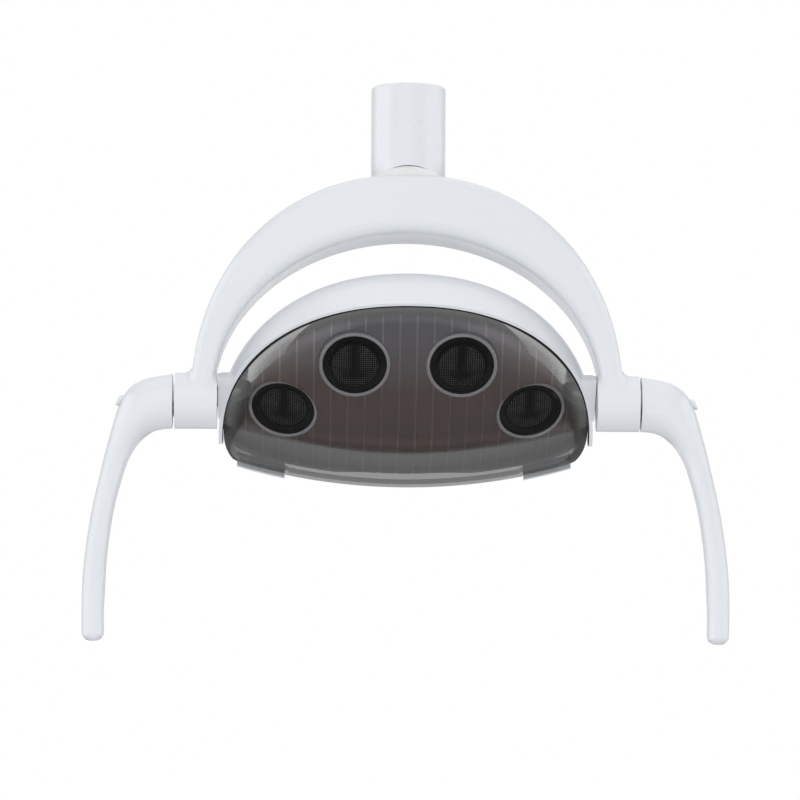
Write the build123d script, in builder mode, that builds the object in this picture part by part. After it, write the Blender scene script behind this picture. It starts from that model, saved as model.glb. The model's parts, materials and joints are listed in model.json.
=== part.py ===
from build123d import *
import os
from math import asin, copysign, cos, degrees, hypot, radians, sin, sqrt

os.makedirs("parts", exist_ok=True)

# Dental operating light. Millimetres, +Z up, +X to the right of someone who faces the light,
# -Y towards that person. The origin is the middle of the stem tube's top mouth.

# layout
hub_drop = 220.0                # from the stem's mouth down to the tilt axis
head_tilt = 51.0                # how far the head's face looks below the horizontal, degrees
roll_limit = 12.0               # the yoke's roll each way, degrees

# clearances
running_gap = 0.4               # between pieces that turn beside each other
shaft_play = 0.04               # radial, of a shaft in its bush
seat_gap = 0.05                 # around what is fixed in a seat
screw_play = 0.2                # radial, of a screw in its hole

# stem tube
stem_radius = 25.85
stem_wall = 3.0
stem_entry = 28.0               # the tube's sides enter the crown this far above the roll axis
mouth_edge = 1.0
pivot_height = 128.0            # of the roll axis above the tilt axis
pivot_drop = hub_drop - pivot_height
stem_length = pivot_drop - stem_entry

# arm sleeve inside the stem
arm_pin_radius = 13.0
sleeve_radius = 17.0
sleeve_flange = 3.0
sleeve_length = 47.0
bush_height = 10.0
lower_bush_drop = 34.5
stop_drop = 29.0                # height of the pan stop below the stem's mouth
stop_lug_radius = 20.5
brake_drop = 19.5
grub_drop = 23.5
circlip_thickness = 1.5

# stem foot, the casting in the tube's lower end
foot_disc_drop = 49.5
foot_disc_thickness = 6.5
blade_half_thickness = 7.0
blade_half_width = 8.0
eye_radius = 9.5
axle_radius = 5.0

# yoke
knuckle_radius = 33.7
knuckle_half_depth = 24.5
knuckle_gap = 0.4
arch_top = 155.6                # above the tilt axis
arch_half_width = 149.0         # of the outer curve, at the tilt axis
arch_fullness = 2.15            # 2 is an ellipse, more is squarer
opening_top = 114.4
opening_half_width = 134.0
crown_half_depth = 33.0
arm_half_depth = 18.2
section_corner = 8.5            # largest rounding of the arch's section
section_share = 0.36            # rounding as a share of the section's width, where it is thin
yoke_wall = 3.0
arch_stations = 12

# hubs at the yoke's ends
hub_inner = 131.2               # from the middle out to the hub's inner end
hub_length = 29.4
hub_radius = 19.35
hub_wall = 2.4
hub_end_wall = 2.0
hub_flare = 8.0                 # rounding where the arm meets its hub
shaft_radius = 11.0
bush_wall = 3.4

# yoke frame
frame_half_depth = 8.0
frame_gap = 0.6                 # between the frame and the shells' walls
shell_screw_angles = (20, 50, 130, 160)
shell_screw_radius = 1.9
shell_boss_radius = 5.0
screw_head_radius = 3.5
screw_head_height = 2.4
screw_recess = 1.3              # radius of the driver's socket in a screw head
through = 20.0                  # for a cut that only has to go past a thin wall
screw_floor = 3.0               # left under a sunk screw head

# head outline, seen square to its face
rim_half_width = 128.0
rim_middle = -40.0              # below the tilt axis, where the head is widest
rim_height = 130.1              # from there up to the rim's top
rim_fullness = 2.2
rim_level = -2.0                # of the rim's plane, out from the tilt axis
rim_width = 2.4                 # of the shell's edge around the visor
chin_drop = 88.0
chin_step = 2.0                 # the shell stands this far inside the visor below the ears
visor_chin_half_width = 121.0
visor_corner = 7.0
shell_chin_half_width = 124.0
shell_corner = 34.0
ear_drop = 44.0                 # where the shell's raised ears end, below the tilt axis

# bulge of the head's face
bulge_radius = 160.0            # up and down
bulge_sweep_radius = 312.0      # from side to side
bulge_crest = 23.4              # out from the tilt axis
bulge_middle = 3.4              # above the tilt axis
bulge_half_height = 112.0
bulge_lean = 12.0               # of the sweep's axis, which makes the chin fuller, degrees

# back of the head
head_depth = 60.0               # from the tilt axis back to the shell's crest
back_start = -8.0               # where the shell begins to close towards its back
back_fullness = 3.0             # of the closing curve up and down
back_side_fullness = 2.6        # and from side to side
back_flat = 1.0
back_steps = 9
shell_wall = 2.6

# visor, gasket and panel
gasket_width = 0.9
gasket_play = 0.15
visor_wall = 2.2
visor_skirt = 6.0
tongue_half_width = 84.0
tongue_drop = 92.5
lip_reach = 118.0
lip_drop = 93.0
lip_proud = 3.0                 # of the shell's lips beside the tongue, past the visor's face
panel_sink = 9.0                # from the face's bulge down to the panel
panel_wall = 2.0
panel_margin = 5.2
panel_corner = 36.0
groove_pitch = 11.75
groove_width = 1.2
groove_depth = 0.6
groove_count = 20

# lamp cups
holder_radius = 22.0
holder_depth = 21.0
holder_wall = 1.4
holder_mouth = 1.2              # how far it stands out of the panel
lens_radius = 17.5
lens_sink = 2.6                 # of its front below the holder's mouth
lens_rim = 2.0
lens_foot_radius = 6.2
bezel_radius = 24.5
bezel_high = 1.8
bezel_low = 4.5
inner_lamp = (36.7, 43.6, 0.0)  # across, height up the middle of the face, and sink into the panel
outer_lamp = (85.8, -2.8, 1.5)
inner_aim = (1.0, 16.6)         # outward and upward from the face's normal, degrees
outer_aim = (10.7, 6.4)
board_radius = 10.0
board_thickness = 1.6

# chassis with heat sink
plate_level = -26.0             # front of the plate, out from the tilt axis
plate_thickness = 4.0
plate_margin = 11.0
pedestal_radius = 10.5
fin_count = 11
fin_pitch = 11.0
fin_thickness = 2.0
fin_depth = 12.0
fin_half_length = 38.0
fin_middle = 22.0

# trunnions and handles
trunnion_plate = 2.4
trunnion_half_height = shaft_radius
foot_reach = 104.0              # from the middle out to the trunnions' feet
ear_wall = 1.9
neck_front = -4.6               # of the trunnion's flat neck inside the ear, out from the tilt axis
wire_bore = 2.2
wire_bore_sink = 7.4            # of the wire bore below the tilt axis's level
spigot_radius = 9.0
spigot_length = 16.0
handle_gap = 1.2
button_radius = 3.7

hub_z = -hub_drop
hub_outer = hub_inner + hub_length
tilt_down = radians(head_tilt)
face_normal = Vector(0, -cos(tilt_down), -sin(tilt_down))
face_up = Vector(0, -sin(tilt_down), cos(tilt_down))
head_plane = Plane(origin=(0, 0, hub_z), x_dir=(1, 0, 0), z_dir=face_normal)
side_plane = Plane(origin=(0, 0, hub_z), x_dir=face_up, z_dir=(1, 0, 0))


def rod(plane, radius, start, end, places=((0, 0),), mode=Mode.ADD):
    with BuildSketch(plane.offset(start)) as ends:
        with Locations(*places):
            Circle(radius)
    extrude(ends.sketch, amount=end - start, mode=mode)


def bar(plane, width, height, start, end, places=((0, 0),), mode=Mode.ADD):
    with BuildSketch(plane.offset(start)) as ends:
        with Locations(*places):
            Rectangle(width, height)
    extrude(ends.sketch, amount=end - start, mode=mode)


def ring(plane, outer, inner, start, end):
    with BuildPart() as body:
        rod(plane, outer, start, end)
        rod(plane, inner, start, end, mode=Mode.SUBTRACT)
    return body.part


def save(part, name):
    part.label = name
    export_step(part, f"parts/{name}.step")


def around(angle):
    turn = radians(angle)
    return Plane(origin=(0, 0, 0), x_dir=(-sin(turn), cos(turn), 0), z_dir=(cos(turn), sin(turn), 0))


def rolled_bars(half_width, height):
    with BuildSketch() as bars:
        with Locations((0, -pivot_drop)):
            for turn in (-roll_limit, 0, roll_limit):
                Rectangle(2 * half_width, height, rotation=turn, align=(Align.CENTER, Align.MIN))
    return bars.sketch


# Arm sleeve. The arm's pin is clamped in its bore, and the stem turns on it.

sleeve_end = -sleeve_length
upper_bush_top = -sleeve_flange - running_gap
lower_bush_top = -lower_bush_drop
circlip_top = lower_bush_top - bush_height - running_gap
circlip_end = circlip_top - circlip_thickness
circlip_groove_radius = sleeve_radius - 1.2
tube_bore = stem_radius - stem_wall
grub_radius = 2.5
grub_angles = (45, 135)
front = Plane.XZ

with BuildPart() as arm_sleeve:
    rod(Plane.XY, sleeve_radius, sleeve_end, 0)
    rod(Plane.XY, tube_bore - running_gap, -sleeve_flange, 0)
    bar(Plane.XY, 6, stop_lug_radius, -stop_drop - 2.5, -stop_drop + 2.5, [(0, -stop_lug_radius / 2)])
    rod(Plane.XY, arm_pin_radius, sleeve_end, 0, mode=Mode.SUBTRACT)
    add(ring(Plane.XY, sleeve_radius + 1, circlip_groove_radius, circlip_end - seat_gap,
             circlip_top + seat_gap), mode=Mode.SUBTRACT)
    for angle in grub_angles:
        rod(around(angle), grub_radius + seat_gap, arm_pin_radius - 3, sleeve_radius + 1,
            [(0, -grub_drop)], mode=Mode.SUBTRACT)
save(arm_sleeve.part, "arm_sleeve")

with BuildPart() as sleeve_grub_screws:
    for angle in grub_angles:
        rod(around(angle), grub_radius, arm_pin_radius + 0.3, sleeve_radius - 0.5, [(0, -grub_drop)])
        rod(around(angle), 1.2, arm_pin_radius + 1.8, sleeve_radius, [(0, -grub_drop)], mode=Mode.SUBTRACT)
save(sleeve_grub_screws.part, "sleeve_grub_screws")

with BuildPart() as sleeve_circlip:
    add(ring(Plane.XY, sleeve_radius + 2.6, circlip_groove_radius + seat_gap, circlip_end, circlip_top))
    bar(front, 7, 5, -sleeve_radius - 4, -sleeve_radius + 4, [(0, circlip_top)], mode=Mode.SUBTRACT)
save(sleeve_circlip.part, "sleeve_circlip")


# Stem tube with its bushes, brake, stop pin and foot.

stop_pin_radius = 2.0
brake_radius = 3.0
foot_screw_radius = 2.0
foot_screw_angles = (30, 90, 150)
foot_screw_drop = foot_disc_drop + foot_disc_thickness / 2
grub_hole_radius = grub_radius + 0.7

with BuildPart() as stem_tube:
    rod(Plane.XY, stem_radius, -stem_length, 0)
    rod(Plane.XY, tube_bore, -stem_length, 0, mode=Mode.SUBTRACT)
    chamfer(stem_tube.edges().group_by(Axis.Z)[-1], length=mouth_edge)
    rod(front, knuckle_radius + knuckle_gap, -stem_radius, stem_radius, [(0, -pivot_drop)],
        mode=Mode.SUBTRACT)
    rod(around(90), stop_pin_radius + seat_gap, tube_bore - 1, stem_radius + 1, [(0, -stop_drop)],
        mode=Mode.SUBTRACT)
    rod(around(90), brake_radius + seat_gap, tube_bore - 1, stem_radius + 1, [(0, -brake_drop)],
        mode=Mode.SUBTRACT)
    for angle in grub_angles:
        rod(around(angle), grub_hole_radius, tube_bore - 1, stem_radius + 1, [(0, -grub_drop)],
            mode=Mode.SUBTRACT)
    for angle in foot_screw_angles:
        rod(around(angle), foot_screw_radius + screw_play, tube_bore - 1, stem_radius + 1,
            [(0, -foot_screw_drop)], mode=Mode.SUBTRACT)
save(stem_tube.part, "stem_tube")

for name, top in (("upper_bush", upper_bush_top), ("lower_bush", lower_bush_top)):
    bush = ring(Plane.XY, tube_bore - seat_gap, sleeve_radius + shaft_play, top - bush_height, top)
    save(bush, name)

with BuildPart() as brake_pad:
    rod(around(90), brake_radius - seat_gap, sleeve_radius + 0.3, tube_bore - 2, [(0, -brake_drop)])
save(brake_pad.part, "brake_pad")

with BuildPart() as brake_screw:
    rod(around(90), brake_radius, tube_bore - 2 + seat_gap, stem_radius + 0.5, [(0, -brake_drop)])
    rod(around(90), 1.5, stem_radius - 2, stem_radius + 0.5, [(0, -brake_drop)], mode=Mode.SUBTRACT)
save(brake_screw.part, "brake_screw")

with BuildPart() as pan_stop_pin:
    rod(around(90), stop_pin_radius, sleeve_radius + running_gap, stem_radius - 0.3, [(0, -stop_drop)])
save(pan_stop_pin.part, "pan_stop_pin")

foot_end = -foot_disc_drop - foot_disc_thickness
with BuildPart() as stem_foot:
    rod(Plane.XY, tube_bore - seat_gap, foot_end, -foot_disc_drop)
    with BuildSketch(front) as blade:
        with BuildLine():
            Polyline((-blade_half_width, -pivot_drop), (blade_half_width, -pivot_drop),
                     (blade_half_width + 6, foot_end + 1), (-blade_half_width - 6, foot_end + 1), close=True)
        make_face()
        with Locations((0, -pivot_drop)):
            Circle(eye_radius)
    extrude(blade.sketch, amount=blade_half_thickness, both=True)
    rod(front, axle_radius + shaft_play, -through, through, [(0, -pivot_drop)], mode=Mode.SUBTRACT)
    rod(Plane.XY, 4, foot_end - 1, 0, [(-15, 0), (15, 0)], mode=Mode.SUBTRACT)
    for angle in foot_screw_angles:
        rod(around(angle), foot_screw_radius + seat_gap, tube_bore - 7, stem_radius,
            [(0, -foot_screw_drop)], mode=Mode.SUBTRACT)
save(stem_foot.part, "stem_foot")

with BuildPart() as foot_screws:
    for angle in foot_screw_angles:
        rod(around(angle), foot_screw_radius, tube_bore - 6, stem_radius + 0.1, [(0, -foot_screw_drop)])
        rod(around(angle), foot_screw_radius + 1.4, stem_radius + 0.1, stem_radius + 1.8,
            [(0, -foot_screw_drop)])
save(foot_screws.part, "foot_screws")


# Yoke. The arch is lofted through rounded sections that stand square to it.

def curve_point(half_width, height, fullness, angle):
    turn = radians(angle)
    across = copysign(half_width * abs(cos(turn)) ** (2 / fullness), cos(turn))
    up = height * abs(sin(turn)) ** (2 / fullness)
    return Vector(across, 0, hub_z + up)


def arch_section(inset, angle):
    outer = curve_point(arch_half_width - inset, arch_top - inset, arch_fullness, angle)
    inner = curve_point(opening_half_width + inset, opening_top + inset, 2, angle)
    return outer, inner


def arch_form(inset):
    with BuildPart() as form:
        for station in range(arch_stations + 1):
            angle = 180 * station / arch_stations
            outer, inner = arch_section(inset, angle)
            outward = (outer - inner).normalized()
            width = (outer - inner).length
            half_depth = arm_half_depth + (crown_half_depth - arm_half_depth) * sin(radians(angle)) ** 1.5
            square = Plane(origin=(outer + inner) / 2, x_dir=outward, z_dir=outward.cross(Vector(0, 1, 0)))
            with BuildSketch(square):
                RectangleRounded(width, 2 * (half_depth - inset), min(width * section_share, section_corner))
        loft()
    return form.part


def is_hub_joint(edge):
    centre = edge.center()
    return (edge.geom_type == GeomType.BSPLINE and abs(centre.X) > arch_half_width - 3
            and -3 < centre.Z - hub_z < hub_radius + 3)


with BuildPart() as yoke_form:
    add(arch_form(0))
    for side in (1, -1):
        rod(Plane.YZ, hub_radius, side * hub_inner, side * hub_outer, [(0, hub_z)])
    fillet(yoke_form.edges().filter_by(is_hub_joint), radius=hub_flare)

with BuildPart() as yoke_cavity:
    add(arch_form(yoke_wall))
    for side in (1, -1):
        rod(Plane.YZ, hub_radius - hub_wall, side * (hub_inner + hub_end_wall),
            side * (hub_outer - hub_end_wall), [(0, hub_z)])

tube_sweep_radius = hypot(stem_radius, pivot_drop - stem_length) + knuckle_gap
pocket_half_depth = stem_radius + running_gap + 0.1
pocket_floor = arch_top - 20.0 + hub_z

with BuildPart() as crown_pocket:
    with BuildSketch(front) as pocket:
        with Locations((0, -pivot_drop)):
            Circle(tube_sweep_radius)
        add(rolled_bars(stem_radius + knuckle_gap, pivot_drop))
        with Locations((0, pocket_floor)):
            Rectangle(4 * stem_radius, 2 * stem_radius, align=(Align.CENTER, Align.MIN),
                      mode=Mode.INTERSECT)
    extrude(pocket.sketch, amount=pocket_half_depth, both=True)


def arch_middle(angle):
    outer, inner = arch_section(0, angle)
    middle = (outer + inner) / 2
    return (middle.X, middle.Z)


shell_screw_places = [arch_middle(angle) for angle in shell_screw_angles]

with BuildPart() as yoke_skin:
    add(yoke_form.part)
    add(yoke_cavity.part, mode=Mode.SUBTRACT)
    add(crown_pocket.part, mode=Mode.SUBTRACT)
    rod(Plane.YZ, shaft_radius + 0.3, -hub_outer - 1, hub_outer + 1, [(0, hub_z)], mode=Mode.SUBTRACT)

with BuildPart() as bosses:
    rod(front, shell_boss_radius, -crown_half_depth, -frame_half_depth - seat_gap, shell_screw_places)
    rod(front, shell_boss_radius, frame_half_depth + seat_gap, crown_half_depth, shell_screw_places)
    add(arch_form(yoke_wall / 2), mode=Mode.INTERSECT)

with BuildPart() as yoke_front_shell:
    add(yoke_skin.part)
    add(bosses.part)
    split(bisect_by=front, keep=Keep.TOP)
    rod(front, shell_screw_radius, 0, frame_half_depth + 7, shell_screw_places, mode=Mode.SUBTRACT)
save(yoke_front_shell.part, "yoke_front_shell")

with BuildPart() as yoke_rear_shell:
    add(yoke_skin.part)
    add(bosses.part)
    split(bisect_by=front, keep=Keep.BOTTOM)
    rod(front, shell_screw_radius + screw_play, -crown_half_depth - 1, 0, shell_screw_places,
        mode=Mode.SUBTRACT)
    rod(front, screw_head_radius + screw_play, -crown_half_depth - 1,
        -frame_half_depth - screw_floor, shell_screw_places, mode=Mode.SUBTRACT)
save(yoke_rear_shell.part, "yoke_rear_shell")

with BuildPart() as yoke_screws:
    rod(front, shell_screw_radius - seat_gap, -frame_half_depth - screw_floor, frame_half_depth + 5,
        shell_screw_places)
    rod(front, screw_head_radius, -frame_half_depth - screw_floor - screw_head_height - seat_gap,
        -frame_half_depth - screw_floor - seat_gap, shell_screw_places)
    rod(front, screw_recess, -frame_half_depth - screw_floor - screw_head_height - 1,
        -frame_half_depth - screw_floor - 1, shell_screw_places, mode=Mode.SUBTRACT)
save(yoke_screws.part, "yoke_screws")


# Yoke frame: a cast arch that carries the roll axle at its crown and a bearing ring at each end.

frame_inset = yoke_wall + frame_gap
slot_half_thickness = blade_half_thickness + running_gap
slot_half_width = blade_half_width + 6 + 1.0
frame_ring_outer = hub_radius - hub_wall - frame_gap
frame_ring_inner = shaft_radius + bush_wall
frame_ring_start = hub_inner + hub_end_wall + frame_gap
frame_ring_end = hub_outer - hub_end_wall - frame_gap
pivot_boss_radius = eye_radius + 0.5
pivot_boss_half_depth = 18.0

with BuildPart() as yoke_frame:
    with BuildSketch(front) as band:
        with BuildLine():
            outer_points = []
            inner_points = []
            for station in range(arch_stations + 1):
                outer, inner = arch_section(frame_inset, 180 * station / arch_stations)
                outer_points.append((outer.X, outer.Z))
                inner_points.append((inner.X, inner.Z))
            outer_curve = Spline(outer_points, tangents=[(0, 1), (0, -1)], tangent_scalars=(1, 1))
            inner_curve = Spline(inner_points, tangents=[(0, 1), (0, -1)], tangent_scalars=(1, 1))
            Line(outer_curve @ 0, inner_curve @ 0)
            Line(outer_curve @ 1, inner_curve @ 1)
        make_face()
    extrude(band.sketch, amount=frame_half_depth, both=True)
    with BuildSketch(front) as knuckle:
        with Locations((0, -pivot_drop)):
            Circle(knuckle_radius)
        with Locations((0, pocket_floor)):
            Rectangle(4 * knuckle_radius, 2 * knuckle_radius, align=(Align.CENTER, Align.MIN),
                      mode=Mode.INTERSECT)
    extrude(knuckle.sketch, amount=knuckle_half_depth, both=True)
    rod(front, pivot_boss_radius, -pivot_boss_half_depth, pivot_boss_half_depth, [(0, -pivot_drop)])
    bar(front, 2 * pivot_boss_radius, knuckle_radius / 2, -pivot_boss_half_depth, pivot_boss_half_depth,
        [(0, -pivot_drop + knuckle_radius / 4)])
    for side in (1, -1):
        rod(Plane.YZ, frame_ring_outer, side * frame_ring_start, side * frame_ring_end, [(0, hub_z)])
    for side in (1, -1):
        rod(Plane.YZ, frame_ring_inner, side * (frame_ring_start - 9), side * (frame_ring_end + 9),
            [(0, hub_z)], mode=Mode.SUBTRACT)
    with BuildSketch(front) as slot:
        add(rolled_bars(slot_half_width, pivot_drop))
        with Locations((0, -pivot_drop)):
            Circle(eye_radius + running_gap + 0.2)
    extrude(slot.sketch, amount=slot_half_thickness, both=True, mode=Mode.SUBTRACT)
    rod(front, axle_radius + seat_gap, -knuckle_half_depth, knuckle_half_depth, [(0, -pivot_drop)],
        mode=Mode.SUBTRACT)
    rod(front, shell_screw_radius + screw_play, -frame_half_depth - 1, frame_half_depth + 1,
        shell_screw_places, mode=Mode.SUBTRACT)
save(yoke_frame.part, "yoke_frame")

axle_half_length = pivot_boss_half_depth + 2.5
axle_groove = pivot_boss_half_depth + 1.1
axle_clip_radius = axle_radius - 0.7
with BuildPart() as roll_axle:
    rod(front, axle_radius, -axle_half_length, axle_half_length, [(0, -pivot_drop)])
    for side in (1, -1):
        with BuildSketch(front.offset(side * axle_groove - 0.7)) as groove:
            with Locations((0, -pivot_drop)):
                Circle(axle_radius + 1)
                Circle(axle_clip_radius, mode=Mode.SUBTRACT)
        extrude(groove.sketch, amount=1.4, mode=Mode.SUBTRACT)
save(roll_axle.part, "roll_axle")

with BuildPart() as axle_circlips:
    for side in (1, -1):
        rod(front, axle_radius + 2.2, side * axle_groove - 0.6, side * axle_groove + 0.6, [(0, -pivot_drop)])
    rod(front, axle_clip_radius + seat_gap, -axle_half_length, axle_half_length, [(0, -pivot_drop)],
        mode=Mode.SUBTRACT)
    bar(front, 4, 8, -axle_half_length, axle_half_length, [(0, -pivot_drop - axle_radius - 3)],
        mode=Mode.SUBTRACT)
save(axle_circlips.part, "axle_circlips")

for side, name in ((1, "hub_bush_right"), (-1, "hub_bush_left")):
    with BuildPart() as hub_bush:
        rod(Plane.YZ, frame_ring_inner - seat_gap, side * frame_ring_start, side * frame_ring_end,
            [(0, hub_z)])
        rod(Plane.YZ, shaft_radius + shaft_play, side * frame_ring_start, side * frame_ring_end,
            [(0, hub_z)], mode=Mode.SUBTRACT)
    save(hub_bush.part, name)


# Head. Its pieces are drawn square to its face: X across, then up the face, then outward.

def head_outline(half_width, height, chin_half_width, chin, corner, narrow=1.0, lower=1.0):
    with BuildSketch() as outline:
        with BuildLine():
            points = []
            for step in range(13):
                turn = radians(180 * step / 12)
                across = copysign(half_width * abs(cos(turn)) ** (2 / rim_fullness), cos(turn))
                up = rim_middle + height * abs(sin(turn)) ** (2 / rim_fullness)
                points.append((narrow * across, lower * up))
            top = Spline(points, tangents=[(0, 1), (0, -1)],
                         tangent_scalars=(1, 1))
            right = TangentArc(top @ 0, (narrow * chin_half_width, -lower * chin), tangent=(0, -1))
            left = TangentArc(top @ 1, (-narrow * chin_half_width, -lower * chin), tangent=(0, -1))
            Line(right @ 1, left @ 1)
        make_face()
        fillet(outline.vertices().group_by(Axis.Y)[0], radius=corner * min(narrow, lower))
    return outline.sketch


def rim_outline(inset):
    return head_outline(rim_half_width - inset, rim_height - inset, visor_chin_half_width - inset,
                        chin_drop - inset, max(visor_corner - inset, 1.0))


def shell_outline(inset, narrow=1.0, lower=1.0):
    return head_outline(rim_half_width + rim_width - inset, rim_height + rim_width - inset,
                        shell_chin_half_width - inset, chin_drop + rim_width - inset, shell_corner - inset,
                        narrow, lower)


def head_slab(outline, start, end):
    with BuildPart() as slab:
        with BuildSketch(head_plane.offset(start)) as base:
            add(outline)
        extrude(base.sketch, amount=end - start)
    return slab.part


def at_head(along, out):
    return side_plane.from_local_coords((along, out, 0))


bulge_centre = bulge_crest - bulge_radius
sweep_centre = bulge_crest - bulge_sweep_radius
lean = radians(bulge_lean)
sweep_axis = Axis(at_head(bulge_middle, sweep_centre), face_up * cos(lean) - face_normal * sin(lean))


# The space behind the face's bulge, with its surface sunk by a distance.
def face_body(sink):
    reach = sqrt((bulge_radius - sink) ** 2 - bulge_half_height ** 2)
    low = (bulge_middle - bulge_half_height, bulge_centre + reach)
    high = (bulge_middle + bulge_half_height, bulge_centre + reach)
    crest = (bulge_middle, bulge_crest - sink)
    fall = bulge_half_height * sin(lean) / cos(lean)
    with BuildPart() as body:
        with BuildSketch(side_plane) as profile:
            with BuildLine():
                ThreePointArc(low, crest, high)
                Polyline(high, (high[0], sweep_centre - fall), (low[0], sweep_centre + fall), low)
            make_face()
        revolve(profile.sketch, axis=sweep_axis)
    return body.part


def back_share(level, start, fullness, depth):
    fall = (start - level) / (start + depth)
    return (1 - fall ** fullness) ** (1 / fullness)


def shell_form(inset):
    depth = head_depth - inset
    with BuildPart() as form:
        for step in range(back_steps + 1):
            level = back_start - (depth + back_start - back_flat) * sin(radians(90 * step / back_steps))
            narrow = back_share(level, back_start, back_side_fullness, depth)
            lower = back_share(level, back_start, back_fullness, depth)
            with BuildSketch(head_plane.offset(level)):
                add(shell_outline(inset, narrow, lower))
        loft()
        with BuildSketch(head_plane.offset(back_start)) as front_section:
            add(shell_outline(inset))
        extrude(front_section.sketch, amount=shell_front - back_start)
    return form.part


def below_ears(inset):
    with BuildPart() as keep:
        bar(head_plane, 2 * far, far, -far, far, [(0, far / 2 - ear_drop + inset)])
        with BuildSketch(head_plane.offset(-far)) as lower_outline:
            add(rim_outline(chin_step + inset))
        extrude(lower_outline.sketch, amount=2 * far)
    return keep.part


far = 200.0                     # past every surface of the head
shell_front = 20.0
ear_face = hub_inner - running_gap - 0.2
plate_outer = ear_face - ear_wall - seat_gap
plate_inner = plate_outer - trunnion_plate
foot_end = foot_reach + 11.0
plate_back = plate_level - plate_thickness
web_back = -17.0
web_front = -13.0
neck_end = hub_inner - running_gap / 2
rim_depth = 15.0
under_ears = [(0, -far / 2 - ear_drop)]
above_ears = [(0, far / 2 - ear_drop)]

shell_outside = shell_form(0)
shell_inside = shell_form(shell_wall)
outside_keep = below_ears(0)
inside_keep = below_ears(shell_wall)
skirt_bed = face_body(visor_skirt + 1.5)
visor_bed = head_slab(rim_outline(0), rim_level - rim_depth, far)

with BuildPart() as shell_cavity:
    add(shell_inside)
    add(inside_keep, mode=Mode.INTERSECT)

# Front edge of the shell: level round the top and the ears, and below them it follows the face.
with BuildPart() as chin_front:
    bar(head_plane, 2 * far, far, -far, far, under_ears)
    add(skirt_bed, mode=Mode.SUBTRACT)

shell_screw_spots = [(-62, 34), (62, 34), (-62, -52), (62, -52)]
shell_post_radius = 5.0
shell_screw_seat = plate_back - 6.0
vent_spots = [(column * fin_pitch / 2, row) for column in (-7, -5, -3, -1, 1, 3, 5, 7) for row in (-6, 42)]
vent_width = 2.6
vent_length = 26.0

# The lips hook round the visor's lower edge on each side of its tongue.
lip_start = tongue_half_width + 0.3
lip_top = chin_drop - gasket_width + 0.3
lip_root = chin_drop - chin_step - shell_wall
lip_middles = [side * (lip_start + lip_reach) / 2 for side in (1, -1)]
lip_face = face_body(-lip_proud)
lip_back = face_body(visor_skirt + 5)
behind_skirt = face_body(visor_skirt + 0.5)

with BuildPart() as lip_roots:
    bar(head_plane, lip_reach - lip_start, lip_drop - lip_root, -far, far,
        [(middle, -(lip_drop + lip_root) / 2) for middle in lip_middles])
    add(behind_skirt, mode=Mode.INTERSECT)

with BuildPart() as shell_lips:
    bar(head_plane, lip_reach - lip_start, lip_drop - lip_top, -far, far,
        [(middle, -(lip_drop + lip_top) / 2) for middle in lip_middles])
    add(lip_face, mode=Mode.INTERSECT)
    add(lip_roots.part)
    add(lip_back, mode=Mode.SUBTRACT)

with BuildPart() as shell_posts:
    rod(head_plane, shell_post_radius, -far, plate_back - seat_gap, shell_screw_spots)
    add(shell_form(shell_wall / 2), mode=Mode.INTERSECT)

with BuildPart() as head_shell:
    add(shell_outside)
    add(outside_keep, mode=Mode.INTERSECT)
    for side in (1, -1):
        rod(Plane.YZ, hub_radius, side * foot_reach, side * ear_face, [(0, hub_z)])
    bar(head_plane, 2 * far, far, rim_level, far, above_ears, mode=Mode.SUBTRACT)
    add(chin_front.part, mode=Mode.SUBTRACT)
    add(visor_bed, mode=Mode.SUBTRACT)
    add(shell_cavity.part, mode=Mode.SUBTRACT)
    add(shell_lips.part)
    for side in (1, -1):
        rod(Plane.YZ, shaft_radius + running_gap, side * foot_reach, side * (ear_face + 1), [(0, hub_z)],
            mode=Mode.SUBTRACT)
        bar(side_plane, 2 * (trunnion_half_height + running_gap), -web_back + running_gap,
            side * foot_reach, side * (ear_face - ear_wall), [(0, (web_back - running_gap) / 2)],
            mode=Mode.SUBTRACT)
        bar(side_plane, 2 * (trunnion_half_height + running_gap), -neck_front,
            side * foot_reach, side * (ear_face + 1), [(0, neck_front / 2)], mode=Mode.SUBTRACT)
    add(shell_posts.part)
    rod(head_plane, shell_screw_radius + screw_play, -far, plate_back, shell_screw_spots,
        mode=Mode.SUBTRACT)
    rod(head_plane, screw_head_radius + screw_play, -far, shell_screw_seat, shell_screw_spots,
        mode=Mode.SUBTRACT)
    bar(head_plane, vent_width, vent_length, -far, plate_back - fin_depth - 1, vent_spots,
        mode=Mode.SUBTRACT)
save(head_shell.part, "head_shell")

# Caps close the notches that the trunnions drop into, flush with the shell's rim.
for side, name in ((1, "right"), (-1, "left")):
    with BuildPart() as ear_cap:
        bar(side_plane, 2 * (trunnion_half_height + running_gap - seat_gap),
            rim_level - neck_front - seat_gap,
            side * foot_reach, side * ear_face, [(0, (rim_level + neck_front + seat_gap) / 2)])
        add(visor_bed, mode=Mode.SUBTRACT)
    save(ear_cap.part, f"ear_cap_{name}")


# Visor with its gasket. Its tongue reaches down between the shell's lips.

def visor_slab(inset):
    with BuildSketch() as outline:
        add(rim_outline(gasket_width + inset))
        with Locations((0, -tongue_drop + inset)):
            Rectangle(2 * (tongue_half_width - inset), through, align=(Align.CENTER, Align.MIN))
    return head_slab(outline.sketch, -far, far)


face_front = face_body(0)
face_skirt = face_body(visor_skirt)
face_inner = face_body(visor_wall)
visor_outside = visor_slab(0)
visor_inside = visor_slab(visor_wall)

with BuildPart() as visor_hollow:
    add(visor_inside)
    add(face_inner, mode=Mode.INTERSECT)

with BuildPart() as visor:
    add(visor_outside)
    add(face_front, mode=Mode.INTERSECT)
    add(face_skirt, mode=Mode.SUBTRACT)
    add(visor_hollow.part, mode=Mode.SUBTRACT)
save(visor.part, "visor")

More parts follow.
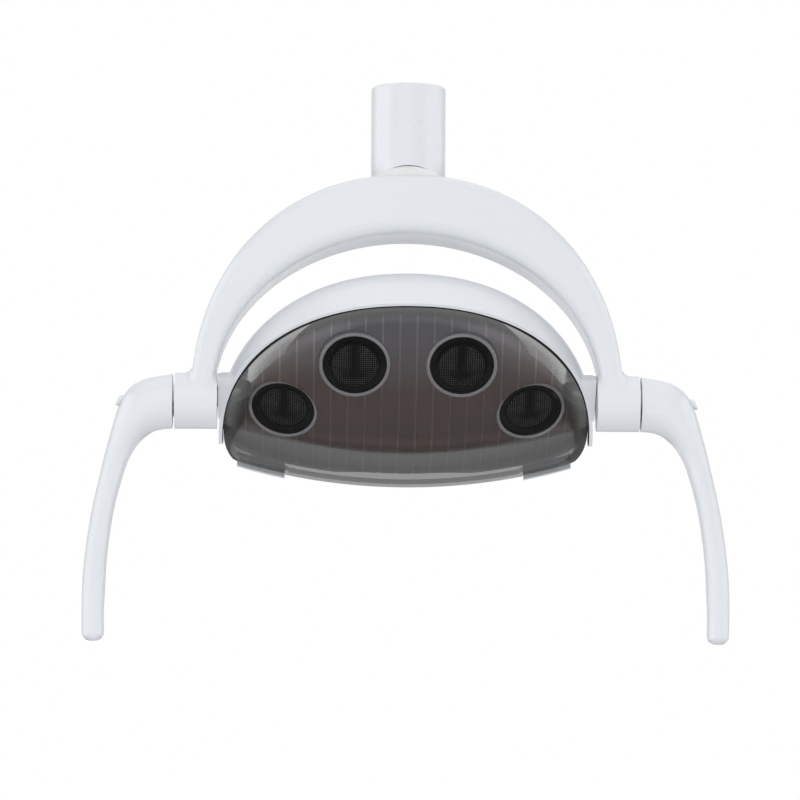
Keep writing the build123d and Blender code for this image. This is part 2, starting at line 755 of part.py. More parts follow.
with BuildPart() as visor_gasket:
    with BuildSketch(head_plane.offset(rim_level - 7)) as band:
        add(rim_outline(gasket_play))
        add(rim_outline(gasket_width - gasket_play), mode=Mode.SUBTRACT)
    extrude(band.sketch, amount=6.4)
    bar(head_plane, 2 * far, far, -far, far, under_ears, mode=Mode.SUBTRACT)
save(visor_gasket.part, "visor_gasket")


# Lamps: each has a black holder, a bezel round it, a lens and an emitter on its own board.

def lamp_plane(place, aim, side):
    distance, along, sink = place
    outward, upward = aim
    reach = sqrt((bulge_radius - panel_sink) ** 2 - (along - bulge_middle) ** 2)
    arm = at_head(along, bulge_centre + reach) - sweep_axis.position
    swing_radius = arm.cross(sweep_axis.direction).length
    swing = degrees(asin(distance / swing_radius))
    spot = sweep_axis.position + arm.rotate(Axis((0, 0, 0), sweep_axis.direction), side * swing)
    across = side * sin(radians(outward))
    up = sin(radians(upward))
    direction = Vector(across, 0, 0) + face_up * up + face_normal * sqrt(1 - across ** 2 - up ** 2)
    return Plane(origin=spot - direction * sink, x_dir=face_up.cross(direction), z_dir=direction)


lamps = {
    "inner_right": lamp_plane(inner_lamp, inner_aim, 1),
    "inner_left": lamp_plane(inner_lamp, inner_aim, -1),
    "outer_right": lamp_plane(outer_lamp, outer_aim, 1),
    "outer_left": lamp_plane(outer_lamp, outer_aim, -1),
}
board_front = holder_mouth - holder_depth
lens_front = holder_mouth - lens_sink
lens_seat = lens_front - lens_rim
lens_end = board_front + 2.4
holder_foot = lens_foot_radius + 0.9
dome_radius = 2.6
dome_top = lens_end + 1.0

for name, plane in lamps.items():
    lamp_axis = Axis(plane.origin, plane.z_dir)
    radial = Plane(origin=plane.origin, x_dir=plane.x_dir, z_dir=plane.x_dir.cross(plane.z_dir))
    with BuildPart() as bezel:
        rod(plane, bezel_radius, -bezel_low, bezel_high)
        rod(plane, holder_radius + seat_gap, -bezel_low, bezel_high, mode=Mode.SUBTRACT)
        chamfer(bezel.edges().filter_by(GeomType.CIRCLE).sort_by(lamp_axis)[-2:], length=0.6)
    save(bezel.part, f"bezel_{name}")
    with BuildPart() as holder:
        with BuildSketch(radial) as profile:
            with BuildLine():
                Polyline((holder_radius, holder_mouth), (holder_radius, lens_seat - 2),
                         (holder_foot + holder_wall + 1, board_front), (holder_foot, board_front),
                         (lens_radius - 1, lens_seat - seat_gap), (lens_radius + 0.3, lens_seat - seat_gap),
                         (lens_radius + 0.3, lens_front + 0.2), (holder_radius - holder_wall, lens_front + 1),
                         (holder_radius - holder_wall, holder_mouth), close=True)
            make_face()
        revolve(profile.sketch, axis=lamp_axis)
    save(holder.part, f"lens_holder_{name}")
    with BuildPart() as lens:
        with BuildSketch(radial) as profile:
            with BuildLine():
                Polyline((0, lens_front), (lens_radius, lens_front), (lens_radius, lens_seat),
                         (lens_radius - 1.6, lens_seat), (lens_foot_radius, lens_end),
                         (dome_radius + 1, lens_end), (dome_radius + 0.4, lens_end + 4.5),
                         (0, lens_end + 5.5), close=True)
            make_face()
        revolve(profile.sketch, axis=lamp_axis)
    save(lens.part, f"lens_{name}")
    with BuildPart() as emitter:
        rod(plane, board_radius, board_front - board_thickness - seat_gap, board_front - seat_gap)
        rod(plane, dome_radius, board_front - seat_gap, dome_top)
        fillet(emitter.edges().filter_by(GeomType.CIRCLE).sort_by(lamp_axis)[-1], radius=1.6)
    save(emitter.part, f"emitter_{name}")


# Grooved panel behind the visor, with a round opening for each bezel and posts on the plate.

panel_posts = [(0, 70), (-66, 32), (66, 32), (-62, -66), (62, -66), (0, 8)]
panel_post_radius = 3.0
sensor_spots = [(-8, -68), (8, -68)]
sensor_radius = 2.5
panel_front = face_body(panel_sink)
panel_middle = face_body(panel_sink + panel_wall / 2)
panel_back = face_body(panel_sink + panel_wall)
groove_floor = face_body(panel_sink + groove_depth)
groove_places = [((step - (groove_count - 1) / 2) * groove_pitch, 0) for step in range(groove_count)]

with BuildPart() as groove_cuts:
    bar(head_plane, groove_width, 2 * far, -far / 2, far, groove_places)
    add(groove_floor, mode=Mode.SUBTRACT)

with BuildPart() as post_stems:
    rod(head_plane, panel_post_radius, plate_level + seat_gap, far, panel_posts)
    add(panel_middle, mode=Mode.INTERSECT)

panel_outline = head_outline(rim_half_width - panel_margin, rim_height - panel_margin,
                             visor_chin_half_width - panel_margin, chin_drop - panel_margin, panel_corner)

with BuildPart() as lamp_holes:
    for plane in lamps.values():
        rod(plane, bezel_radius + 0.3, -through, through)

with BuildPart() as inner_panel:
    with BuildSketch(head_plane.offset(-far / 2)) as panel_shape:
        add(panel_outline)
    extrude(panel_shape.sketch, amount=far)
    add(panel_front, mode=Mode.INTERSECT)
    for side in (1, -1):
        bar(head_plane, through, 2 * (trunnion_half_height + running_gap), -far, far,
            [(side * (foot_end + 9.5), 0)], mode=Mode.SUBTRACT)
    add(groove_cuts.part, mode=Mode.SUBTRACT)
    add(panel_back, mode=Mode.SUBTRACT)
    add(lamp_holes.part, mode=Mode.SUBTRACT)
    add(post_stems.part)
    rod(head_plane, sensor_radius + 0.3, plate_level, far, sensor_spots, mode=Mode.SUBTRACT)
save(inner_panel.part, "inner_panel")


# Chassis: the heat sink plate with the lamps' pedestals in front and fins behind, and the boards.

plate_screw_radius = 1.9
foot_screw_spots = [(side * (foot_reach + 4.5), level) for side in (1, -1) for level in (-6, 6)]
pedestal_top = board_front - board_thickness - 2 * seat_gap
fin_places = [((step - (fin_count - 1) / 2) * fin_pitch, fin_middle) for step in range(fin_count)]

under_panel = face_body(panel_sink + panel_wall + running_gap)

with BuildPart() as pedestals:
    for plane in lamps.values():
        rod(plane, pedestal_radius, pedestal_top - 30, pedestal_top)
    bar(head_plane, 2 * far, 2 * far, plate_back + 1, far, mode=Mode.INTERSECT)

with BuildPart() as heat_sink:
    with BuildSketch(head_plane.offset(plate_back)) as plate:
        add(shell_outline(plate_margin))
    extrude(plate.sketch, amount=plate_thickness)
    add(under_panel, mode=Mode.INTERSECT)
    add(pedestals.part)
    bar(head_plane, fin_thickness, 2 * fin_half_length, plate_back - fin_depth, plate_back, fin_places)
    rod(head_plane, shell_post_radius + 1, plate_back - fin_depth - 1, plate_back, shell_screw_spots,
        mode=Mode.SUBTRACT)
    rod(head_plane, plate_screw_radius, plate_back - 1, plate_level + 1,
        shell_screw_spots + foot_screw_spots, mode=Mode.SUBTRACT)
save(heat_sink.part, "heat_sink")

with BuildPart() as shell_screws:
    rod(head_plane, shell_screw_radius - seat_gap, shell_screw_seat, plate_level - 0.5, shell_screw_spots)
    rod(head_plane, screw_head_radius, shell_screw_seat - screw_head_height - seat_gap,
        shell_screw_seat - seat_gap, shell_screw_spots)
    rod(head_plane, screw_recess, shell_screw_seat - screw_head_height - 1, shell_screw_seat - 1,
        shell_screw_spots, mode=Mode.SUBTRACT)
save(shell_screws.part, "shell_screws")

driver_back = plate_back - 7.6
driver_front = driver_back + board_thickness
with BuildPart() as driver_board:
    bar(head_plane, 100, 26, driver_back, driver_front, [(0, -56)])
    rod(head_plane, 2.5, driver_front, plate_back - seat_gap, [(-44, -56), (44, -56)])
    bar(head_plane, 14, 12, driver_back - 8, driver_back, [(-22, -56)])
    rod(head_plane, 5, driver_back - 10, driver_back, [(-4, -56), (9, -56)])
    bar(head_plane, 10, 8, driver_back - 3, driver_back, [(28, -56)])
save(driver_board.part, "driver_board")

sensor_back = plate_level + 5.0
with BuildPart() as sensor_board:
    bar(head_plane, 30, 9, sensor_back, sensor_back + 1.2, [(0, -68)])
    bar(head_plane, 8, 6, plate_level + seat_gap, sensor_back, [(0, -68)])
    rod(head_plane, sensor_radius, sensor_back + 1.2, far, sensor_spots)
    add(panel_middle, mode=Mode.INTERSECT)
save(sensor_board.part, "sensor_board")


# Trunnions: the head hangs on them in the yoke's hubs, and each ends in a spigot for its handle.

handle_start = hub_outer + handle_gap
spigot_end = handle_start + spigot_length
button_shaft_radius = 2.4

for side, name in ((1, "right"), (-1, "left")):
    with BuildPart() as trunnion:
        rod(Plane.YZ, shaft_radius, side * plate_inner, side * handle_start, [(0, hub_z)])
        rod(Plane.YZ, spigot_radius, side * handle_start, side * spigot_end, [(0, hub_z)])
        chamfer(trunnion.edges().filter_by(GeomType.CIRCLE).sort_by(Axis.X)[-1 if side > 0 else 0],
                length=1.0)
        bar(side_plane, 2 * trunnion_half_height, -web_back, side * plate_inner, side * plate_outer,
            [(0, web_back / 2)])
        bar(head_plane, plate_outer - foot_reach, 2 * trunnion_half_height, web_back, web_front,
            [(side * (plate_outer + foot_reach) / 2, 0)])
        bar(head_plane, foot_end - foot_reach, 2 * trunnion_half_height, plate_level + seat_gap,
            web_front, [(side * (foot_end + foot_reach) / 2, 0)])
        bar(side_plane, 2 * far, far, side * (plate_inner - 1), side * neck_end,
            [(0, neck_front + far / 2)], mode=Mode.SUBTRACT)
        rod(side_plane, wire_bore, side * (plate_inner - 1), side * (handle_start - 4),
            [(0, -wire_bore_sink)], mode=Mode.SUBTRACT)
        rod(head_plane, plate_screw_radius, plate_level - 1, web_front + 1,
            [place for place in foot_screw_spots if place[0] * side > 0], mode=Mode.SUBTRACT)
        rod(Plane.YZ, button_shaft_radius + 0.3, side * (spigot_end - 6), side * (spigot_end + 1),
            [(0, hub_z)], mode=Mode.SUBTRACT)
    save(trunnion.part, f"trunnion_{name}")

with BuildPart() as chassis_screws:
    rod(head_plane, plate_screw_radius - seat_gap, plate_back - 1, web_front - 0.5, foot_screw_spots)
    rod(head_plane, screw_head_radius, plate_back - screw_head_height, plate_back - seat_gap,
        foot_screw_spots)
    rod(head_plane, screw_recess, plate_back - screw_head_height - 1, plate_back - 1, foot_screw_spots,
        mode=Mode.SUBTRACT)
save(chassis_screws.part, "chassis_screws")


# Handles: a round elbow at the hub that thins into an oval grip. Stations run from the hub to the tip:
# across, height, half width, half depth and how far the section has turned down, degrees.

handle_stations = (
    (0.0, 0.0, 19.4, 19.4, 0),
    (15.1, -3.1, 18.4, 18.5, 22),
    (26.2, -13.0, 14.7, 17.5, 48),
    (32.8, -25.3, 10.7, 15.8, 63),
    (38.1, -38.4, 8.6, 14.4, 71),
    (42.1, -52.8, 7.9, 13.4, 76),
    (45.4, -66.2, 7.6, 12.8, 78),
    (48.2, -80.5, 7.6, 12.4, 80),
    (50.2, -94.2, 7.7, 12.0, 83),
    (51.9, -108.6, 7.8, 11.7, 85),
    (52.9, -123.1, 8.0, 11.5, 87),
    (53.4, -137.7, 7.9, 11.2, 89),
    (53.5, -151.6, 7.7, 10.8, 91),
    (53.3, -166.2, 7.1, 9.8, 92),
)
tip_round = 5.5
root_round = 0.7
collar_radius = 5.2
collar_start = spigot_end + 5.5
collar_end = collar_start + 2.0
button_end = 200.2              # from the middle out to the centre of its slanted face
button_slant = 25.0
button_rise = 5.0               # stock beyond that centre, cut away by the slant
button_round = 0.8
spring_radius = 3.6
spring_wire = 0.3
spring_pitch = 1.25
spring_length = 4.4

with BuildPart() as handle_form:
    for across, height, half_width, half_depth, turn in handle_stations:
        down = radians(turn)
        with BuildSketch(Plane(origin=(handle_start + across, 0, hub_z + height),
                               x_dir=(sin(down), 0, cos(down)), z_dir=(cos(down), 0, -sin(down)))):
            Ellipse(half_width, half_depth)
    loft()
    fillet(handle_form.faces().sort_by(Axis.Z)[0].edges(), radius=tip_round)
    fillet(handle_form.faces().sort_by(Axis.X)[0].edges(), radius=root_round)
handle_forms = {1: handle_form.part, -1: mirror(handle_form.part, about=Plane.YZ)}

for side, name in ((1, "right"), (-1, "left")):
    with BuildPart() as handle:
        add(handle_forms[side])
        rod(Plane.YZ, spigot_radius + seat_gap, side * (handle_start - 1), side * (spigot_end + 0.3),
            [(0, hub_z)], mode=Mode.SUBTRACT)
        rod(Plane.YZ, collar_radius + 0.3, side * spigot_end, side * (collar_end + running_gap),
            [(0, hub_z)], mode=Mode.SUBTRACT)
        rod(Plane.YZ, button_radius + 0.3, side * spigot_end, side * (button_end + 10), [(0, hub_z)],
            mode=Mode.SUBTRACT)
    save(handle.part, f"handle_{name}")
    with BuildPart() as release_button:
        rod(Plane.YZ, button_shaft_radius, side * (spigot_end - 1), side * collar_start, [(0, hub_z)])
        rod(Plane.YZ, collar_radius, side * collar_start, side * collar_end, [(0, hub_z)])
        rod(Plane.YZ, button_radius, side * collar_start, side * (button_end + button_rise),
            [(0, hub_z)])
        rod(Plane(origin=(side * button_end, 0, hub_z), x_dir=(0, 1, 0),
                  z_dir=(side * cos(radians(button_slant)), 0, sin(radians(button_slant)))),
            hub_radius, 0, hub_radius, mode=Mode.SUBTRACT)
        fillet(release_button.faces().sort_by(Axis.X)[-1 if side > 0 else 0].edges(),
               radius=button_round)
    save(release_button.part, f"release_button_{name}")
    with BuildPart() as button_spring:
        with BuildLine() as coil:
            Helix(pitch=spring_pitch, height=spring_length, radius=spring_radius,
                  center=(side * (spigot_end + 0.55), 0, hub_z), direction=(side, 0, 0))
        with BuildSketch(Plane(origin=coil.edges()[0] @ 0, z_dir=coil.edges()[0] % 0)):
            Circle(spring_wire)
        sweep(path=coil.edges()[0])
    save(button_spring.part, f"button_spring_{name}")
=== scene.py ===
import bpy
import json
import math
from mathutils import Matrix, Vector


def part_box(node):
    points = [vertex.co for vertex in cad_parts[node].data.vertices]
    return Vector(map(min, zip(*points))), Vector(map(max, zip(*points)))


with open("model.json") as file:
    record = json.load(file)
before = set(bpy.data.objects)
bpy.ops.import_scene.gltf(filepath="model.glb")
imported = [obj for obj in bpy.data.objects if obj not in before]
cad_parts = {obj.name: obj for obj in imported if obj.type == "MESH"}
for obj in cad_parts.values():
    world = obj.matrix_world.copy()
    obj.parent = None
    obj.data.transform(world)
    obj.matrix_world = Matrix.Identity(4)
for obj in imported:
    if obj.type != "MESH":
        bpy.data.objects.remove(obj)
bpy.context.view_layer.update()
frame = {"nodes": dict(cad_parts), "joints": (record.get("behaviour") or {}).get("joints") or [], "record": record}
nodes = frame["nodes"]
print("frame loaded:", len(nodes), "nodes")

joints = {joint["name"]: joint for joint in frame["joints"]}
hub = Vector(joints["head_tilt"]["pos_m"])   # a point on the axis that the head tilts about
tiltDown = math.radians(51)                  # how far the head's face looks below the horizontal
faceUp = Vector((0, -math.sin(tiltDown), math.cos(tiltDown)))


# the camera stands in front and a little below the head; angles in degrees, aim counted from the hub
view = {"distance": 3.5, "lens": 227.7, "left": 1.2, "below": 6.5, "roll": 0.3,
        "aim": Vector((-0.0048, 0.0, 0.0017))}


def makeCamera():
    left = math.radians(view["left"])
    below = math.radians(view["below"])
    flat = math.cos(below)
    away = Vector((-math.sin(left) * flat, -math.cos(left) * flat, -math.sin(below)))
    data = bpy.data.cameras.new("camera")
    data.lens = view["lens"]
    camera = bpy.data.objects.new("camera", data)
    bpy.context.scene.collection.objects.link(camera)
    roll = Matrix.Rotation(math.radians(view["roll"]), 4, "Z").to_quaternion()
    camera.rotation_euler = ((-away).to_track_quat("-Z", "Y") @ roll).to_euler()
    camera.location = hub + view["aim"] + away * view["distance"]
    bpy.context.scene.camera = camera


makeCamera()
bpy.context.scene.view_settings.view_transform = "Standard"
print("camera set")


class Wire:                                  # an output socket that can stand in a sum
    def __init__(self, wiring, socket):
        self.wiring = wiring
        self.socket = socket

    def __add__(self, other):
        return self.wiring.math("ADD", self, other)

    def __radd__(self, other):
        return self.wiring.math("ADD", other, self)

    def __sub__(self, other):
        return self.wiring.math("SUBTRACT", self, other)

    def __rsub__(self, other):
        return self.wiring.math("SUBTRACT", other, self)

    def __mul__(self, other):
        return self.wiring.math("MULTIPLY", self, other)

    def __rmul__(self, other):
        return self.wiring.math("MULTIPLY", other, self)

    def __truediv__(self, other):
        return self.wiring.math("DIVIDE", self, other)

    def __pow__(self, other):
        return self.wiring.math("POWER", self, other)

    def __gt__(self, other):
        return self.wiring.math("GREATER_THAN", self, other)

    def __lt__(self, other):
        return self.wiring.math("LESS_THAN", self, other)


class Wiring:                                # a node tree, emptied, and the nodes put into it
    def __init__(self, tree):
        self.tree = tree
        tree.nodes.clear()

    def join(self, socket, value):           # a wire is linked, anything else is set on the socket
        if isinstance(value, Wire):
            self.tree.links.new(value.socket, socket)
        else:
            socket.default_value = value

    def node(self, kind, settings, sockets, out=0):
        made = self.tree.nodes.new(kind)
        for key, value in settings.items():
            setattr(made, key, value)
        for key, value in sockets.items():
            self.join(made.inputs[key], value)
        return Wire(self, made.outputs[out]) if made.outputs else None

    def math(self, operation, *values):
        return self.node("ShaderNodeMath", {"operation": operation}, dict(enumerate(values)))

    def along(self, direction, start=(0, 0, 0)):     # metres from the start, measured along a direction
        place = self.node("ShaderNodeTexCoord", {}, {}, "Object")
        moved = self.node("ShaderNodeVectorMath", {"operation": "SUBTRACT"}, {0: place, 1: tuple(start)})
        return self.node("ShaderNodeVectorMath", {"operation": "DOT_PRODUCT"},
                         {0: moved, 1: tuple(direction)}, "Value")

    def noise(self, scale, detail=2.0, roughness=0.5, stretch=(1, 1, 1)):
        place = self.node("ShaderNodeTexCoord", {}, {}, "Object")
        spread = self.node("ShaderNodeVectorMath", {"operation": "MULTIPLY"}, {0: place, 1: stretch})
        return self.node("ShaderNodeTexNoise", {}, {"Vector": spread, "Scale": scale, "Detail": detail,
                                                    "Roughness": roughness}, "Fac")

    def blend(self, factor, first, second):  # between two colours
        return self.node("ShaderNodeMix", {"data_type": "RGBA"}, {0: factor, 6: first, 7: second}, 2)

    def brighten(self, colour, gain):
        return self.node("ShaderNodeVectorMath", {"operation": "SCALE"}, {0: colour, "Scale": gain})

    def fade(self, value, low, high, kind="SMOOTHSTEP"):     # 0 up to low, 1 from high on
        return self.node("ShaderNodeMapRange", {"interpolation_type": kind},
                         {"Value": value, "From Min": low, "From Max": high})

    def ray(self, kind):                     # 1 where a ray of this kind looks
        return self.node("ShaderNodeLightPath", {}, {}, kind)


shaderInputs = {"colour": "Base Color", "roughness": "Roughness", "metallic": "Metallic", "ior": "IOR",
                "specular": "Specular IOR Level", "alpha": "Alpha", "normal": "Normal",
                "glow": "Emission Color", "glowStrength": "Emission Strength"}


class Finish(Wiring):                        # one material
    def __init__(self, name, **constants):
        self.material = bpy.data.materials.new(name)
        self.material.use_nodes = True
        super().__init__(self.material.node_tree)
        self.shader = self.node("ShaderNodeBsdfPrincipled", {}, {})
        self.node("ShaderNodeOutputMaterial", {}, {"Surface": self.shader})
        self.feed(**constants)

    def feed(self, **values):
        inputs = self.shader.socket.node.inputs
        for key, value in values.items():
            self.join(inputs[shaderInputs[key]], value)

    def unevenGloss(self, look):
        self.feed(roughness=look["roughness"] + look["glossSpread"] * self.noise(**look["gloss"]))

    def bump(self, height, distance, strength=1.0):
        self.feed(normal=self.node("ShaderNodeBump", {}, {"Strength": strength, "Distance": distance,
                                                          "Height": height}))


def grey(level, tint=(1.0, 1.0, 1.0)):
    return (level * tint[0], level * tint[1], level * tint[2], 1.0)


# Finishes that are alike all over a piece. The colour drifts from low to high over a cloud of noise, and
# the gloss and the relief follow a noise of their own, or the cloud. A relief is a depth and a strength.
whiteTint = (0.935, 0.962, 1.0)
plainLooks = {
    "white_plastic": {"name": "whitePlastic", "constants": {"ior": 1.46},
                      "low": grey(0.80, whiteTint), "high": grey(0.83, whiteTint), "cloud": {"scale": 9},
                      "roughness": 0.20, "glossSpread": 0.09, "gloss": {"scale": 60, "detail": 3},
                      "relief": (0.00002, 0.35), "grain": {"scale": 850}},
    "white_paint": {"name": "whitePaint", "constants": {"ior": 1.5},
                    "low": grey(0.79, whiteTint), "high": grey(0.82, whiteTint), "cloud": {"scale": 14},
                    "roughness": 0.24, "glossSpread": 0.1, "gloss": {"scale": 90},
                    "relief": (0.00002, 0.12), "grain": {"scale": 420}},
    "steel": {"name": "machinedSteel", "constants": {"metallic": 1.0},
              "low": grey(0.50), "high": grey(0.66),
              "cloud": {"scale": 300, "detail": 4, "roughness": 0.6, "stretch": (1, 1, 14)},
              "roughness": 0.22, "glossSpread": 0.2},
    "dark_steel": {"name": "blackenedSteel", "constants": {"metallic": 1.0},
                   "low": grey(0.10), "high": grey(0.18), "cloud": {"scale": 500, "detail": 3},
                   "roughness": 0.3, "glossSpread": 0.2, "gloss": {"scale": 700}},
    "cast_aluminium": {"name": "castAluminium", "constants": {"metallic": 1.0},
                       "low": grey(0.80), "high": grey(0.92),
                       "cloud": {"scale": 1400, "detail": 4, "roughness": 0.7},
                       "roughness": 0.46, "glossSpread": 0.2, "relief": (0.00004, 0.4)},
    "bearing_plastic": {"name": "bearingPlastic",
                        "low": (0.62, 0.60, 0.54, 1), "high": (0.70, 0.68, 0.62, 1),
                        "cloud": {"scale": 40, "detail": 3},
                        "roughness": 0.42, "glossSpread": 0.1, "gloss": {"scale": 200}},
    "friction_pad": {"name": "frictionLining",
                     "low": (0.10, 0.07, 0.05, 1), "high": (0.30, 0.22, 0.14, 1),
                     "cloud": {"scale": 1800, "detail": 4, "roughness": 0.8},
                     "roughness": 0.75, "glossSpread": 0.15, "relief": (0.00005, 1.0)},
    "gasket": {"name": "blackRubber",
               "low": grey(0.008), "high": grey(0.02), "cloud": {"scale": 900, "detail": 3},
               "roughness": 0.55, "glossSpread": 0.2, "relief": (0.00004, 1.0)},
    "black_plastic": {"name": "holderBlack",
                      "low": grey(0.004), "high": grey(0.009), "cloud": {"scale": 1500, "detail": 3},
                      "roughness": 0.45, "glossSpread": 0.15, "relief": (0.00003, 0.5)},
}


def plainFinish(look):
    finish = Finish(look["name"], **look.get("constants", {}))
    cloud = finish.noise(**look["cloud"])
    gloss = finish.noise(**look["gloss"]) if "gloss" in look else cloud
    finish.feed(colour=finish.blend(cloud, look["low"], look["high"]))
    finish.feed(roughness=look["roughness"] + look["glossSpread"] * gloss)
    if "relief" in look:
        grain = finish.noise(**look["grain"]) if "grain" in look else cloud
        finish.bump(grain, *look["relief"])
    return finish.material


boardLook = {"base": (0.02, 0.12, 0.05, 1), "track": (0.05, 0.22, 0.10, 1), "trackFrom": 0.53,
             "tracks": {"scale": 260, "roughness": 0.4, "stretch": (1, 4, 1)},
             "roughness": 0.30, "glossSpread": 0.15, "gloss": {"scale": 300}}


def circuitBoard():
    look = boardLook
    finish = Finish("circuitBoard")
    tracks = finish.noise(**look["tracks"]) > look["trackFrom"]
    finish.feed(colour=finish.blend(tracks, look["base"], look["track"]))
    finish.unevenGloss(look)
    return finish.material


# the head's rim: an oval, wider than high, with a flatter chin that draws in a little
rimSize = {"halfWidth": 0.128, "height": 0.1301, "middle": -0.040, "chin": -0.088, "chinNarrowing": 0.007,
           "fullness": 2.2}


def rimReach(finish, across, up):            # 1 on the rim's line, less inside it
    below = finish.math("MAXIMUM", rimSize["middle"] - up, 0) / (rimSize["middle"] - rimSize["chin"])
    above = finish.math("MAXIMUM", up - rimSize["middle"], 0) / rimSize["height"]
    sideLimit = rimSize["halfWidth"] - rimSize["chinNarrowing"] * below * below
    power = rimSize["fullness"]
    return ((across / sideLimit) ** power + above ** power) ** (1 / power)


# pairs are heights up the face, or for rimFade shares of the rim's width, between which a zone fades
visorLook = {"tint": 0.004, "cover": 0.25, "coverSpread": 0.02, "clouds": {"scale": 18},
             "roughness": 0.04, "glossSpread": 0.02, "gloss": {"scale": 240}, "ior": 2.0,
             "rimWidth": 0.016, "rimNarrowing": 0.008, "narrowing": (0.0, 0.06), "rimFade": (0.2, 1.0),
             "rimCover": 0.97, "rimGreyAndReflection": 0.14, "topTint": 0.03, "topFade": (-0.01, 0.05),
             "chinCover": 0.56, "chinGreyAndReflection": 0.08, "chinFade": (-0.030, -0.027),
             "edge": 0.021, "edgePower": 3, "edgeSlope": 1.0, "edgeFade": (-0.008, 0.030)}


def smokedVisor():                           # see-through in the middle, rounded and opaque at the rim
    look = visorLook
    finish = Finish("smokedVisor", ior=look["ior"])
    across = finish.math("ABSOLUTE", finish.along((1, 0, 0)))
    up = finish.along(faceUp, hub)
    inward = (1 - rimReach(finish, across, up)) * rimSize["halfWidth"]
    rimWidth = look["rimWidth"] - look["rimNarrowing"] * finish.fade(up, *look["narrowing"])
    rim = 1 - finish.fade(inward / rimWidth, *look["rimFade"])
    chin = 1 - finish.fade(up, *look["chinFade"])

    top = finish.fade(up, *look["topFade"])
    # painted reflection: the opaque rim border is printed. Its grey is lighter low on the sides, in place of the
    # rounded edge's reflection there, and dark at the top
    rimColour = finish.blend(top, grey(look["rimGreyAndReflection"]), grey(look["topTint"]))
    colour = finish.blend(rim, grey(look["tint"]), rimColour)
    # painted reflection: the chin strip is printed and opaque, and its lighter grey stands for the floor's
    # reflection along the visor's lower edge
    finish.feed(colour=finish.blend(chin, colour, grey(look["chinGreyAndReflection"])))

    cover = look["cover"] + look["coverSpread"] * finish.noise(**look["clouds"])
    rimCover = cover + rim * (look["rimCover"] - cover)
    finish.feed(alpha=finish.math("MAXIMUM", rimCover, chin * look["chinCover"]))
    finish.unevenGloss(look)

    # the edge turns back more and more towards the rim, on the upper part of the visor only
    fall = 1 - finish.fade(inward, 0, look["edge"], "LINEAR")
    rounding = fall ** look["edgePower"] * finish.fade(up, *look["edgeFade"])
    finish.bump(-look["edgeSlope"] * look["edge"] / look["edgePower"] * rounding, 1.0)
    return finish.material


# pairs are heights up the face, offsets to the side or, for shoulderReach, shares of the rim's reach
panelLook = {"low": (0.215, 0.168, 0.155, 1), "high": (0.34, 0.345, 0.385, 1), "rise": (0.020, 0.092),
             "pitch": 0.01175, "line": 0.0012, "lineSoftness": 0.0002, "lineGain": 0.7,
             "shoulders": 0.75, "shoulderReach": (0.70, 0.95), "shoulderSide": (0.03, 0.06),
             "shoulderUp": (-0.02, 0.03), "foot": 1.0, "footFade": (-0.038, -0.018),
             "level": 0.97, "levelSpread": 0.06, "clouds": {"scale": 30, "detail": 3},
             "roughness": 0.42, "glossSpread": 0.1, "gloss": {"scale": 300},
             "relief": (0.00002, 0.4), "grain": {"scale": 2200}, "specular": 0.3}


def panelGrey():                             # brighter at the top, its two shoulders and its lower edge
    look = panelLook
    finish = Finish("panelGrey", specular=look["specular"])
    across = finish.along((1, 0, 0))
    side = finish.math("ABSOLUTE", across)
    up = finish.along(faceUp, hub)

    offset = finish.math("PINGPONG", across, look["pitch"] / 2)
    lineEdge = (look["pitch"] - look["line"]) / 2
    line = finish.fade(offset, lineEdge - look["lineSoftness"], lineEdge + look["lineSoftness"])

    # painted light: the shoulders are brightened where light comes in near the rim, and the lower edge is
    # brightened to cancel the shadow the chin strip casts on it
    shoulderLight = finish.fade(rimReach(finish, side, up), *look["shoulderReach"])
    shoulderLight = shoulderLight * finish.fade(side, *look["shoulderSide"]) * finish.fade(up, *look["shoulderUp"])
    foot = 1 - finish.fade(up, *look["footFade"])
    level = look["level"] + look["levelSpread"] * finish.noise(**look["clouds"])
    gain = level * (1 + shoulderLight * look["shoulders"] + foot * look["foot"]) * (1 + line * look["lineGain"])

    # painted light: the panel is a warm dark grey low down and a lighter, bluer grey higher up, where more light
    # reaches it
    base = finish.blend(finish.fade(up, *look["rise"], "LINEAR"), look["low"], look["high"])
    finish.feed(colour=finish.brighten(base, gain))
    finish.unevenGloss(look)
    finish.bump(finish.noise(**look["grain"]), *look["relief"])
    return finish.material


bezelLook = {"low": (0.54, 0.53, 0.55, 1), "high": (0.74, 0.74, 0.78, 1), "rise": (0.03, 0.085),
             "roughness": 0.34, "glossSpread": 0.1, "gloss": {"scale": 400}}


def bezelGrey():
    look = bezelLook
    finish = Finish("bezelGrey")
    # painted light: the higher a bezel sits on the face, the lighter its grey, for the light from above
    height = finish.fade(finish.along(faceUp, hub), *look["rise"])
    finish.feed(colour=finish.blend(height, look["low"], look["high"]))
    finish.unevenGloss(look)
    return finish.material


# pairs are metres from the lens's middle, or for dotFade shares of a dot, between which a zone fades
lensLook = {"ior": 1.49, "pitch": 0.0015, "dotHeight": 0.00010, "dotStrength": 0.6, "dotFade": (0.45, 0.90),
            "dark": 0.004, "bright": 0.24, "rim": (0.01518, 0.0165), "unlit": 0.12,
            "lobeSide": (0.001, 0.006), "lobeUp": (-0.008, 0.001),
            "bow": 0.7, "bowOut": (0.007, 0.012), "bowUp": (-0.003, 0.004),
            "level": 0.6, "levelSpread": 0.8, "clouds": {"scale": 220},
            "roughness": 0.12, "glossSpread": 0.05, "gloss": {"scale": 500}}


